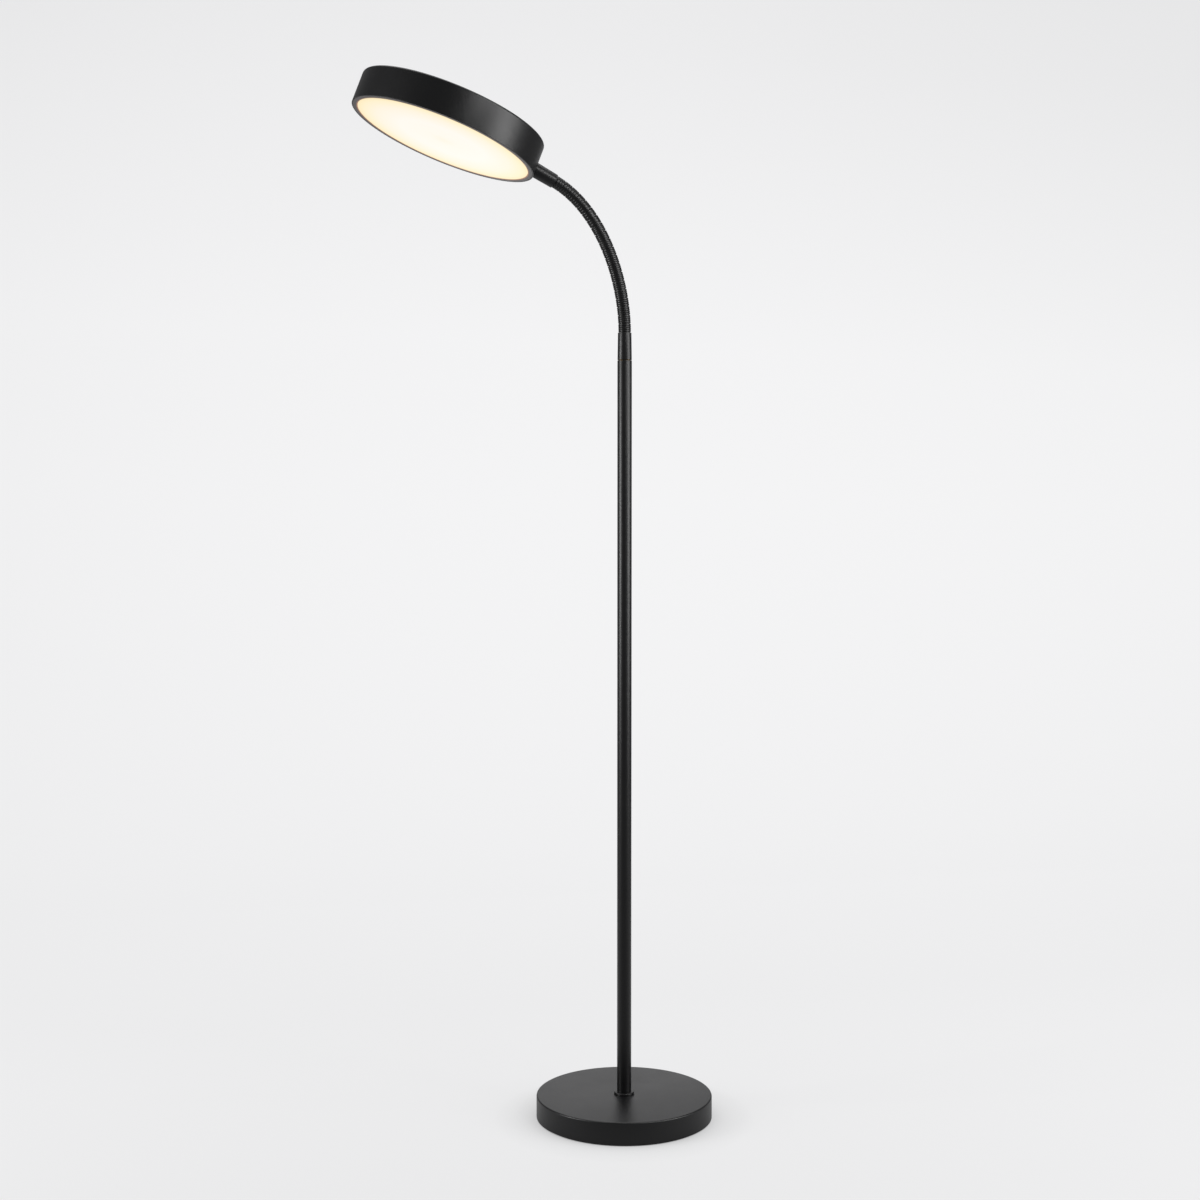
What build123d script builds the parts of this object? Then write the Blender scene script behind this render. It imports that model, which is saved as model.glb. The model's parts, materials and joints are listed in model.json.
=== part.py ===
"""Gooseneck reading floor lamp: weighted round base, slim pole, ribbed bending neck, flat round light head.

Millimetres, +Z up. The origin is on the floor, under the pole. The neck bends in the XZ plane, towards -X.
"""

import os
from math import cos, degrees, pi, sin

from build123d import *

# ---------------------------------------------------------------- driving dimensions
# base
BASE_RADIUS = 117.5
BASE_TOP = 31.2
COVER_WALL = 1.2
COVER_SKIRT_BOTTOM = 1.5
COVER_EDGE_RADIUS = 2.0
PAD_RADIUS = 114.5
PAD_THICKNESS = 2.0
WEIGHT_RADIUS = 115.5
WEIGHT_DISC_TOP = 15.5
WEIGHT_HUB_RADIUS = 24.0
NUT_POCKET_RADIUS = 15.0
NUT_POCKET_TOP = 22.0
LEAD_SLOT_WIDTH = 9.0
GLAND_BORE_RADIUS = 3.3
GLAND_HEIGHT = 7.6
GLAND_BODY_RADIUS = 5.2
GLAND_FLANGE_RADIUS = 6.0
GLAND_FLANGE_THICKNESS = 1.5
GLAND_BODY_LENGTH = 7.5
GLAND_CLEARANCE = 1.0

# pole and the threaded rod at its foot
POLE_RADIUS = 9.5
POLE_WALL = 1.2
POLE_TOP = 1009.0
COLLAR_RADIUS = 13.4
COLLAR_HEIGHT = 3.2
COLLAR_CHAMFER = 0.8
ROD_RADIUS = 5.0
ROD_BORE_RADIUS = 3.4
ROD_HOLE_RADIUS = 5.2
TURNED_SIDES = 24
SLIP = 0.1
INSERT_LENGTH = 22.0
ROD_REACH = 18.0
FOOT_WASHER_RADIUS = 10.5
WASHER_THICKNESS = 1.6
SPRING_WASHER_RADIUS = 8.6
SPRING_WASHER_THICKNESS = 1.8
SPRING_WASHER_SLIT = 0.8
NUT_HEIGHT = 5.0
NUT_FLATS = 14.0
LEAD_RADIUS = 2.6
LEAD_BEND = 6.0
LEAD_SIDES = 6

# lower ferrule
SEAM_GAP = 0.8
STUD_REACH = 16.0
FERRULE_TOP = 1045.4
FERRULE_RADIUS = 9.2
FERRULE_CHAMFER = 0.6

# neck: a chain of ribbed links along a curve that tightens towards the head
LINKS = 20
NECK_STEPS = 400
RIBS_PER_LINK = 3
NECK_LENGTH = 222.4
NECK_BEND_BASE = 0.777
NECK_BEND_GROWTH = 2.3
NECK_GENTLEST_AT = 0.28
RIB_RADIUS = 8.3
RIB_BEVEL = 0.7
LINK_GAP = 1.0
LINK_SIDES = 12
KNUCKLE_RADIUS = 5.7
KNUCKLE_LENGTH = 2.8
KNUCKLE_ROOT = 2.0
SOCKET_RADIUS = 6.7
SOCKET_DEPTH = 4.0
KNUCKLE_SIDES = 8
LEAD_WAY_RADIUS = 3.4
LEAD_WAY_SIDES = 6

# head, drawn face down about its own axis: the rim plane is z = 0 and the shell rises from it
HEAD_RADIUS = 123.0
HEAD_HEIGHT = 41.0
HEAD_WALL = 1.6
HEAD_EDGE_RADIUS = 3.0
HEAD_ELEVATION = 21.2
STUD_HEIGHT = 13.2
STUD_REACH_INSIDE = 10.0
STUD_ROOT = 3.0
STUD_WASHER_RADIUS = 9.0
STUD_WASHER_THICKNESS = 1.8
UPPER_FERRULE_LENGTH = 30.1
UPPER_FERRULE_RADIUS = 9.6
FERRULE_OVERRUN = 6.0
BEZEL_INNER_RADIUS = 115.3
BEZEL_FACE = 1.6
BEZEL_FLANGE_WIDTH = 1.6
BEZEL_FLANGE_TOP = 4.0
DIFFUSER_RADIUS = 115.1
DIFFUSER_FLANGE_RADIUS = 118.8
DIFFUSER_RECESS = 0.3
DIFFUSER_THICKNESS = 2.0
DIFFUSER_FLANGE_THICKNESS = 1.3
CARRIER_RADIUS = 110.0
CARRIER_BOTTOM = 22.6
CARRIER_THICKNESS = 1.2
BOARD_RADIUS = 96.0
BOARD_THICKNESS = 1.6
CHIP_RINGS = ((80.0, 16), (40.0, 8))
CHIP_SIZE = (3.5, 2.8, 0.8)
POST_RADIUS = 3.5
POST_CIRCLE = 102.0
LEAD_NOTCH_AT = 104.0
LEAD_NOTCH_RADIUS = 7.0
DRIVER_SIZE = (78.0, 44.0, 12.0)
DRIVER_EAR = 8.0
DRIVER_EAR_THICKNESS = 1.5
DRIVER_LEAD_HEIGHT = 31.0
SCREW_HEAD_RADIUS = 3.0
SCREW_HEAD_HEIGHT = 2.0
SCREW_RADIUS = 1.5
SCREW_HOLE_RADIUS = 1.7
SCREW_SIDES = 8
POSTS = 3
FIRST_POST_AT = 60
BOARD_SCREWS = 3
BOARD_SCREW_CIRCLE = 65.0
FIRST_BOARD_SCREW_AT = 30
LEAD_SETBACK = 2.0

os.makedirs("parts", exist_ok=True)


def save(name, builder):
    """Writes one node's STEP file."""
    builder.part.label = name
    export_step(builder.part, f"parts/{name}.step")


def rounded_corner(radius, height, bend):
    """Points of a spun edge that turns from a flat top down into a wall, in three short facets."""
    turns = (0, pi / 6, pi / 3, pi / 2)
    return [(radius - bend + bend * sin(turn), height - bend + bend * cos(turn)) for turn in turns]


# ---------------------------------------------------------------- base
with BuildPart() as base_pad:
    with BuildSketch(Plane.XY):
        Circle(PAD_RADIUS)
    extrude(amount=PAD_THICKNESS)
save("base_pad", base_pad)

# spun steel dish, open below, with a hole for the rod in the top and one for the gland in the skirt
with BuildPart() as base_cover:
    with BuildSketch(Plane.XZ):
        with BuildLine():
            Polyline(
                (ROD_HOLE_RADIUS, BASE_TOP - COVER_WALL),
                (ROD_HOLE_RADIUS, BASE_TOP),
                *rounded_corner(BASE_RADIUS, BASE_TOP, COVER_EDGE_RADIUS),
                (BASE_RADIUS, COVER_SKIRT_BOTTOM),
                (BASE_RADIUS - COVER_WALL, COVER_SKIRT_BOTTOM),
                (BASE_RADIUS - COVER_WALL, BASE_TOP - COVER_WALL),
                close=True,
            )
        make_face()
    revolve(axis=Axis.Z)
    with BuildSketch(Plane.YZ.offset(BASE_RADIUS - 2 * COVER_WALL)):
        with Locations((0, GLAND_HEIGHT)):
            Circle(GLAND_BODY_RADIUS)
    extrude(amount=4 * COVER_WALL, mode=Mode.SUBTRACT)
save("base_cover", base_cover)

# cast iron disc with a hub under the pole, a nut pocket and a slot for the lead
with BuildPart() as base_weight:
    with BuildSketch(Plane.XY.offset(PAD_THICKNESS)):
        Circle(WEIGHT_RADIUS)
    extrude(amount=WEIGHT_DISC_TOP - PAD_THICKNESS)
    with BuildSketch(Plane.XY.offset(WEIGHT_DISC_TOP)):
        Circle(WEIGHT_HUB_RADIUS)
    extrude(amount=BASE_TOP - COVER_WALL - WEIGHT_DISC_TOP)
    with BuildSketch(Plane.XY.offset(PAD_THICKNESS)):
        Circle(NUT_POCKET_RADIUS)
    extrude(amount=NUT_POCKET_TOP - PAD_THICKNESS, mode=Mode.SUBTRACT)
    with Locations((0, 0, BASE_TOP)):
        Hole(ROD_HOLE_RADIUS)
    slot_height = GLAND_HEIGHT + LEAD_SLOT_WIDTH / 2 - PAD_THICKNESS
    with BuildSketch(Plane.XY.offset(PAD_THICKNESS)):
        with Locations((BASE_RADIUS / 2, 0)):
            Rectangle(BASE_RADIUS, LEAD_SLOT_WIDTH)
    extrude(amount=slot_height, mode=Mode.SUBTRACT)
    pocket_depth = 2 * (GLAND_BODY_LENGTH - BASE_RADIUS + WEIGHT_RADIUS + GLAND_CLEARANCE)
    with BuildSketch(Plane.XY.offset(PAD_THICKNESS)):
        with Locations((WEIGHT_RADIUS, 0)):
            Rectangle(pocket_depth, 2 * (GLAND_BODY_RADIUS + GLAND_CLEARANCE))
    extrude(amount=GLAND_HEIGHT + GLAND_BODY_RADIUS + GLAND_CLEARANCE - PAD_THICKNESS, mode=Mode.SUBTRACT)
save("base_weight", base_weight)

# grommet in the skirt, on the side away from the head: a flange outside and a body through the wall
with BuildPart() as cord_gland:
    with BuildSketch(Plane.YZ.offset(BASE_RADIUS)):
        with Locations((0, GLAND_HEIGHT)):
            Circle(GLAND_FLANGE_RADIUS)
    extrude(amount=GLAND_FLANGE_THICKNESS)
    with BuildSketch(Plane.YZ.offset(BASE_RADIUS)):
        with Locations((0, GLAND_HEIGHT)):
            Circle(GLAND_BODY_RADIUS - SLIP)
    extrude(amount=-GLAND_BODY_LENGTH)
    with BuildSketch(Plane.YZ.offset(BASE_RADIUS + GLAND_FLANGE_THICKNESS)):
        with Locations((0, GLAND_HEIGHT)):
            Circle(GLAND_BORE_RADIUS)
    extrude(amount=-GLAND_FLANGE_THICKNESS - GLAND_BODY_LENGTH, mode=Mode.SUBTRACT)
save("cord_gland", cord_gland)

# ---------------------------------------------------------------- rod, nut and washers under the pole
rod_top = BASE_TOP + COLLAR_HEIGHT + ROD_REACH
washer_top = NUT_POCKET_TOP
spring_washer_top = washer_top - WASHER_THICKNESS
nut_top = spring_washer_top - SPRING_WASHER_THICKNESS

with BuildPart() as foot_washer:
    with BuildSketch(Plane.XY.offset(spring_washer_top)):
        RegularPolygon(FOOT_WASHER_RADIUS, TURNED_SIDES)
        RegularPolygon(ROD_HOLE_RADIUS, TURNED_SIDES, mode=Mode.SUBTRACT)
    extrude(amount=WASHER_THICKNESS)
save("foot_washer", foot_washer)

with BuildPart() as foot_spring_washer:
    with BuildSketch(Plane.XY.offset(nut_top)):
        RegularPolygon(SPRING_WASHER_RADIUS, TURNED_SIDES)
        RegularPolygon(ROD_HOLE_RADIUS, TURNED_SIDES, mode=Mode.SUBTRACT)
        with Locations((SPRING_WASHER_RADIUS, 0)):
            Rectangle(SPRING_WASHER_RADIUS, SPRING_WASHER_SLIT, mode=Mode.SUBTRACT)
    extrude(amount=SPRING_WASHER_THICKNESS)
save("foot_spring_washer", foot_spring_washer)

with BuildPart() as foot_nut:
    with BuildSketch(Plane.XY.offset(nut_top - NUT_HEIGHT)):
        RegularPolygon(NUT_FLATS / 2, 6, major_radius=False)
        RegularPolygon(ROD_RADIUS + SLIP / 2, TURNED_SIDES, mode=Mode.SUBTRACT)
    extrude(amount=NUT_HEIGHT)
save("foot_nut", foot_nut)

with BuildPart() as foot_rod:
    with BuildSketch(Plane.XY.offset(nut_top - NUT_HEIGHT)):
        RegularPolygon(ROD_RADIUS, TURNED_SIDES)
        RegularPolygon(ROD_BORE_RADIUS, TURNED_SIDES, mode=Mode.SUBTRACT)
    extrude(amount=rod_top - nut_top + NUT_HEIGHT)
save("foot_rod", foot_rod)

# ---------------------------------------------------------------- pole
# turned ring that hides the joint between pole and base
with BuildPart() as foot_collar:
    with BuildSketch(Plane.XY.offset(BASE_TOP)):
        Circle(COLLAR_RADIUS)
        Circle(ROD_HOLE_RADIUS, mode=Mode.SUBTRACT)
    extrude(amount=COLLAR_HEIGHT)
    top_edge = foot_collar.edges().filter_by(GeomType.CIRCLE).group_by(Axis.Z)[-1].sort_by(SortBy.RADIUS)[-1]
    chamfer(top_edge, COLLAR_CHAMFER)
save("foot_collar", foot_collar)

pole_bottom = BASE_TOP + COLLAR_HEIGHT
with BuildPart() as pole_tube:
    with BuildSketch(Plane.XY.offset(pole_bottom)):
        Circle(POLE_RADIUS)
        Circle(POLE_RADIUS - POLE_WALL, mode=Mode.SUBTRACT)
    extrude(amount=POLE_TOP - pole_bottom)
save("pole_tube", pole_tube)

# threaded plugs pressed into both ends of the tube
insert_radius = POLE_RADIUS - POLE_WALL - SLIP / 2
with BuildPart() as pole_foot_insert:
    with BuildSketch(Plane.XY.offset(pole_bottom)):
        RegularPolygon(insert_radius, TURNED_SIDES)
        RegularPolygon(ROD_RADIUS + SLIP / 2, TURNED_SIDES, mode=Mode.SUBTRACT)
    extrude(amount=INSERT_LENGTH)
save("pole_foot_insert", pole_foot_insert)

with BuildPart() as pole_top_insert:
    with BuildSketch(Plane.XY.offset(POLE_TOP - INSERT_LENGTH)):
        RegularPolygon(insert_radius, TURNED_SIDES)
        RegularPolygon(ROD_RADIUS + SLIP / 2, TURNED_SIDES, mode=Mode.SUBTRACT)
    extrude(amount=INSERT_LENGTH)
save("pole_top_insert", pole_top_insert)

# hollow stud between pole and ferrule, with a shoulder that stands in the seam
with BuildPart() as ferrule_stud:
    with BuildSketch(Plane.XY.offset(POLE_TOP - STUD_REACH)):
        RegularPolygon(ROD_RADIUS, TURNED_SIDES)
        RegularPolygon(ROD_BORE_RADIUS, TURNED_SIDES, mode=Mode.SUBTRACT)
    extrude(amount=2 * STUD_REACH + SEAM_GAP)
    with BuildSketch(Plane.XY.offset(POLE_TOP)):
        RegularPolygon(insert_radius, TURNED_SIDES)
        RegularPolygon(ROD_BORE_RADIUS, TURNED_SIDES, mode=Mode.SUBTRACT)
    extrude(amount=SEAM_GAP)
save("ferrule_stud", ferrule_stud)

ferrule_bottom = POLE_TOP + SEAM_GAP
with BuildPart() as lower_ferrule:
    with BuildSketch(Plane.XZ):
        with BuildLine():
            Polyline(
                (ROD_RADIUS + SLIP / 2, ferrule_bottom),
                (FERRULE_RADIUS, ferrule_bottom),
                (FERRULE_RADIUS, FERRULE_TOP - FERRULE_CHAMFER),
                (FERRULE_RADIUS - FERRULE_CHAMFER, FERRULE_TOP),
                (KNUCKLE_RADIUS, FERRULE_TOP),
                (KNUCKLE_RADIUS, FERRULE_TOP + LINK_GAP / 2 + KNUCKLE_LENGTH),
                (LEAD_WAY_RADIUS, FERRULE_TOP + LINK_GAP / 2 + KNUCKLE_LENGTH),
                (LEAD_WAY_RADIUS, ferrule_bottom + STUD_REACH),
                (ROD_RADIUS + SLIP / 2, ferrule_bottom + STUD_REACH),
                close=True,
            )
        make_face()
    revolve(axis=Axis.Z)
save("lower_ferrule", lower_ferrule)

# lead from behind the gland along the cord slot, then up the hollow rod and the pole into the ferrule
lead_rear = BASE_RADIUS - 2 * GLAND_BODY_LENGTH
lead_route = [(lead_rear, 0, GLAND_HEIGHT), (0, 0, GLAND_HEIGHT), (0, 0, FERRULE_TOP)]
with BuildPart() as pole_lead:
    with BuildLine():
        FilletPolyline(lead_route, radius=LEAD_BEND)
    with BuildSketch(Plane.YZ.offset(lead_rear)):
        with Locations((0, GLAND_HEIGHT)):
            RegularPolygon(LEAD_RADIUS, LEAD_SIDES)
    sweep()
save("pole_lead", pole_lead)


# ---------------------------------------------------------------- neck
neck_bottom = FERRULE_TOP + LINK_GAP / 2


def turn_at(share):
    """The neck's lean from upright, in radians, at a share of its length."""
    lean = NECK_BEND_BASE * share
    cubic = (share - NECK_GENTLEST_AT) ** 3 + NECK_GENTLEST_AT**3
    return lean + NECK_BEND_GROWTH * cubic / 3


neck_line = [(0.0, neck_bottom)]
for step in range(NECK_STEPS):
    lean = turn_at((step + 0.5) / NECK_STEPS)
    x, z = neck_line[-1]
    neck_line.append((x - sin(lean) * NECK_LENGTH / NECK_STEPS, z + cos(lean) * NECK_LENGTH / NECK_STEPS))


def neck_plane(distance):
    """The plane square to the neck's centre line, at a distance along it."""
    share = distance / NECK_LENGTH
    at = min(max(share * NECK_STEPS, 0), NECK_STEPS)
    low = min(int(at), NECK_STEPS - 1)
    (x0, z0), (x1, z1) = neck_line[low], neck_line[low + 1]
    x = x0 + (x1 - x0) * (at - low)
    z = z0 + (z1 - z0) * (at - low)
    lean = turn_at(min(share, 1))
    beyond = distance - min(distance, NECK_LENGTH)
    origin = (x - sin(lean) * beyond, 0, z + cos(lean) * beyond)
    return Plane(origin=origin, x_dir=(0, 1, 0), z_dir=(-sin(lean), 0, cos(lean)))


link_length = NECK_LENGTH / LINKS
rib_pitch = link_length / RIBS_PER_LINK
with BuildPart() as rib:
    with BuildSketch(Plane.XY):
        RegularPolygon(RIB_RADIUS, LINK_SIDES)
    extrude(amount=rib_pitch)
    chamfer(rib.faces().filter_by(Plane.XY).edges(), RIB_BEVEL)

# Each link is a row of ribs along the chord between its two joints, trimmed square to each joint, with a
# knuckle at the top that stands in the next link's socket.
for number in range(1, LINKS + 1):
    foot = neck_plane((number - 1) * link_length)
    joint = neck_plane(number * link_length)
    chord = Plane(origin=foot.origin, x_dir=(0, 1, 0), z_dir=joint.origin - foot.origin)
    with BuildPart() as neck_link:
        with Locations([chord.offset(step * rib_pitch) for step in range(RIBS_PER_LINK)]):
            add(rib.part)
        split(bisect_by=foot.offset(LINK_GAP / 2), keep=Keep.TOP)
        split(bisect_by=joint.offset(-LINK_GAP / 2), keep=Keep.BOTTOM)
        with BuildSketch(joint.offset(-KNUCKLE_ROOT)):
            RegularPolygon(KNUCKLE_RADIUS, KNUCKLE_SIDES)
        extrude(amount=KNUCKLE_ROOT + KNUCKLE_LENGTH)
        with BuildSketch(foot):
            RegularPolygon(SOCKET_RADIUS, KNUCKLE_SIDES)
        extrude(amount=SOCKET_DEPTH, mode=Mode.SUBTRACT)
        with BuildSketch(chord):
            RegularPolygon(LEAD_WAY_RADIUS, LEAD_WAY_SIDES)
        extrude(amount=2 * link_length, mode=Mode.SUBTRACT)
    save(f"neck_link_{number:02d}", neck_link)
    print(f"joint above link {number:02d}:", joint.origin, "lean", turn_at(number / LINKS))

# ---------------------------------------------------------------- head
# The upper ferrule follows the neck's end. The head hangs from it a few degrees lower, about the point
# where the ferrule's centre line meets the head's wall.
neck_end = neck_plane(NECK_LENGTH)
end_lean = turn_at(1)
wall_point = (
    neck_end.origin.X - sin(end_lean) * UPPER_FERRULE_LENGTH,
    0,
    neck_end.origin.Z + cos(end_lean) * UPPER_FERRULE_LENGTH,
)
head_lean = pi / 2 - HEAD_ELEVATION * pi / 180
outward = (-sin(head_lean), 0, cos(head_lean))
upward = (cos(head_lean), 0, sin(head_lean))
rim_centre = tuple(
    wall_point[i] + HEAD_RADIUS * outward[i] - STUD_HEIGHT * upward[i] for i in range(3)
)
# x points from the head's centre to the ferrule, z from the rim plane to the closed side
head = Plane(origin=rim_centre, x_dir=tuple(-v for v in outward), z_dir=upward)
print("neck end", neck_end.origin, "lean", degrees(end_lean))
print("wall point", wall_point, "rim centre", rim_centre, "head up", upward)


def head_level(height):
    """The plane parallel to the head's rim, at a height above it."""
    return head.offset(height)


# spun aluminium pan with three posts for the carrier plate and a hole in the wall for the stud
with BuildPart() as head_shell:
    with BuildSketch(Plane(origin=rim_centre, x_dir=head.x_dir, z_dir=head.y_dir)):
        with BuildLine():
            Polyline(
                (0, -(HEAD_HEIGHT - HEAD_WALL)),
                (0, -HEAD_HEIGHT),
                *[(r, -z) for r, z in rounded_corner(HEAD_RADIUS, HEAD_HEIGHT, HEAD_EDGE_RADIUS)],
                (HEAD_RADIUS, 0),
                (HEAD_RADIUS - HEAD_WALL, 0),
                (HEAD_RADIUS - HEAD_WALL, -(HEAD_HEIGHT - HEAD_WALL)),
                close=True,
            )
        make_face()
    revolve(axis=Axis(head.origin, head.z_dir))
    with BuildSketch(head_level(CARRIER_BOTTOM + CARRIER_THICKNESS)):
        with PolarLocations(POST_CIRCLE, POSTS, start_angle=FIRST_POST_AT):
            Circle(POST_RADIUS)
    extrude(amount=HEAD_HEIGHT - HEAD_WALL - CARRIER_BOTTOM - CARRIER_THICKNESS)
    stud_plane = Plane(origin=wall_point, x_dir=(0, 1, 0), z_dir=outward)
    with BuildSketch(stud_plane.offset(-HEAD_WALL)):
        Circle(ROD_HOLE_RADIUS)
    extrude(amount=3 * HEAD_WALL, mode=Mode.SUBTRACT)
save("head_shell", head_shell)

# ring that holds the diffuser: flat face, short flange inside the wall
with BuildPart() as bezel_ring:
    bezel_outer = HEAD_RADIUS - HEAD_WALL - SLIP / 2
    with BuildSketch(head_level(0)):
        Circle(bezel_outer)
        Circle(BEZEL_INNER_RADIUS, mode=Mode.SUBTRACT)
    extrude(amount=BEZEL_FACE)
    with BuildSketch(head_level(BEZEL_FACE)):
        Circle(bezel_outer)
        Circle(bezel_outer - BEZEL_FLANGE_WIDTH, mode=Mode.SUBTRACT)
    extrude(amount=BEZEL_FLANGE_TOP - BEZEL_FACE)
save("bezel_ring", bezel_ring)

with BuildPart() as diffuser:
    with BuildSketch(head_level(DIFFUSER_RECESS)):
        Circle(DIFFUSER_RADIUS)
    extrude(amount=DIFFUSER_THICKNESS)
    with BuildSketch(head_level(BEZEL_FACE)):
        Circle(DIFFUSER_FLANGE_RADIUS)
    extrude(amount=DIFFUSER_FLANGE_THICKNESS)
save("diffuser", diffuser)

driver_ear_at = DRIVER_SIZE[0] / 2 + DRIVER_EAR / 2
driver_bottom = CARRIER_BOTTOM + CARRIER_THICKNESS
board_bottom = CARRIER_BOTTOM - BOARD_THICKNESS

# aluminium disc across the posts; a notch lets the lead pass from the stud to the driver
with BuildPart() as carrier_plate:
    with BuildSketch(head_level(CARRIER_BOTTOM)):
        Circle(CARRIER_RADIUS)
        with PolarLocations(POST_CIRCLE, POSTS, start_angle=FIRST_POST_AT):
            RegularPolygon(SCREW_HOLE_RADIUS, SCREW_SIDES, mode=Mode.SUBTRACT)
        with PolarLocations(BOARD_SCREW_CIRCLE, BOARD_SCREWS, start_angle=FIRST_BOARD_SCREW_AT):
            RegularPolygon(SCREW_HOLE_RADIUS, SCREW_SIDES, mode=Mode.SUBTRACT)
        with Locations((driver_ear_at, 0), (-driver_ear_at, 0)):
            RegularPolygon(SCREW_HOLE_RADIUS, SCREW_SIDES, mode=Mode.SUBTRACT)
        with Locations((LEAD_NOTCH_AT, 0)):
            Circle(LEAD_NOTCH_RADIUS, mode=Mode.SUBTRACT)
        with Locations((LEAD_NOTCH_AT + LEAD_NOTCH_RADIUS, 0)):
            Rectangle(2 * LEAD_NOTCH_RADIUS, 2 * LEAD_NOTCH_RADIUS, mode=Mode.SUBTRACT)
    extrude(amount=CARRIER_THICKNESS)
save("carrier_plate", carrier_plate)

with BuildPart() as carrier_screws:
    with BuildSketch(head_level(CARRIER_BOTTOM - SCREW_HEAD_HEIGHT)):
        with PolarLocations(POST_CIRCLE, POSTS, start_angle=FIRST_POST_AT):
            RegularPolygon(SCREW_HEAD_RADIUS, SCREW_SIDES)
    extrude(amount=SCREW_HEAD_HEIGHT)
    with BuildSketch(head_level(CARRIER_BOTTOM)):
        with PolarLocations(POST_CIRCLE, POSTS, start_angle=FIRST_POST_AT):
            RegularPolygon(SCREW_RADIUS, SCREW_SIDES)
    extrude(amount=CARRIER_THICKNESS)
save("carrier_screws", carrier_screws)

with BuildPart() as led_board:
    with BuildSketch(head_level(board_bottom)):
        Circle(BOARD_RADIUS)
        with PolarLocations(BOARD_SCREW_CIRCLE, BOARD_SCREWS, start_angle=FIRST_BOARD_SCREW_AT):
            RegularPolygon(SCREW_HOLE_RADIUS, SCREW_SIDES, mode=Mode.SUBTRACT)
        with Locations((driver_ear_at, 0), (-driver_ear_at, 0)):
            RegularPolygon(SCREW_HEAD_RADIUS, SCREW_SIDES, mode=Mode.SUBTRACT)
    extrude(amount=BOARD_THICKNESS)
save("led_board", led_board)

with BuildPart() as board_screws:
    with BuildSketch(head_level(board_bottom - SCREW_HEAD_HEIGHT)):
        with PolarLocations(BOARD_SCREW_CIRCLE, BOARD_SCREWS, start_angle=FIRST_BOARD_SCREW_AT):
            RegularPolygon(SCREW_HEAD_RADIUS, SCREW_SIDES)
    extrude(amount=SCREW_HEAD_HEIGHT)
    with BuildSketch(head_level(board_bottom)):
        with PolarLocations(BOARD_SCREW_CIRCLE, BOARD_SCREWS, start_angle=FIRST_BOARD_SCREW_AT):
            RegularPolygon(SCREW_RADIUS, SCREW_SIDES)
    extrude(amount=BOARD_THICKNESS + CARRIER_THICKNESS)
save("board_screws", board_screws)

with BuildPart() as led_chips:
    with BuildSketch(head_level(board_bottom - CHIP_SIZE[2])):
        for ring_radius, count in CHIP_RINGS:
            with PolarLocations(ring_radius, count):
                Rectangle(CHIP_SIZE[1], CHIP_SIZE[0])
    extrude(amount=CHIP_SIZE[2])
save("led_chips", led_chips)

# potted converter box with a screw ear at each end
with BuildPart() as led_driver:
    with BuildSketch(head_level(driver_bottom)):
        Rectangle(DRIVER_SIZE[0], DRIVER_SIZE[1])
    extrude(amount=DRIVER_SIZE[2])
    with BuildSketch(head_level(driver_bottom)):
        Rectangle(DRIVER_SIZE[0] + 2 * DRIVER_EAR, 3 * DRIVER_EAR / 2)
    extrude(amount=DRIVER_EAR_THICKNESS)
    with BuildSketch(head_level(driver_bottom)):
        with Locations((driver_ear_at, 0), (-driver_ear_at, 0)):
            RegularPolygon(SCREW_HOLE_RADIUS, SCREW_SIDES)
    extrude(amount=DRIVER_EAR_THICKNESS, mode=Mode.SUBTRACT)
save("led_driver", led_driver)

with BuildPart() as driver_screws:
    with BuildSketch(head_level(driver_bottom + DRIVER_EAR_THICKNESS)):
        with Locations((driver_ear_at, 0), (-driver_ear_at, 0)):
            RegularPolygon(SCREW_HEAD_RADIUS, SCREW_SIDES)
    extrude(amount=SCREW_HEAD_HEIGHT)
    with BuildSketch(head_level(CARRIER_BOTTOM)):
        with Locations((driver_ear_at, 0), (-driver_ear_at, 0)):
            RegularPolygon(SCREW_RADIUS, SCREW_SIDES)
    extrude(amount=CARRIER_THICKNESS + DRIVER_EAR_THICKNESS)
save("driver_screws", driver_screws)

# lead from the hollow stud up through the carrier's notch and back to the driver
lead_start = HEAD_RADIUS - HEAD_WALL - LEAD_SETBACK
lead_points = (
    (lead_start, STUD_HEIGHT),
    (LEAD_NOTCH_AT, STUD_HEIGHT),
    (LEAD_NOTCH_AT, DRIVER_LEAD_HEIGHT),
    (DRIVER_SIZE[0] / 2, DRIVER_LEAD_HEIGHT),
)
with BuildPart() as driver_lead:
    with BuildLine():
        FilletPolyline([head.from_local_coords((x, 0, z)) for x, z in lead_points], radius=LEAD_BEND)
    lead_mouth = head.from_local_coords((lead_start, 0, STUD_HEIGHT))
    with BuildSketch(Plane(origin=lead_mouth, x_dir=(0, 1, 0), z_dir=outward)):
        RegularPolygon(LEAD_RADIUS, LEAD_SIDES)
    sweep()
save("driver_lead", driver_lead)

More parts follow.
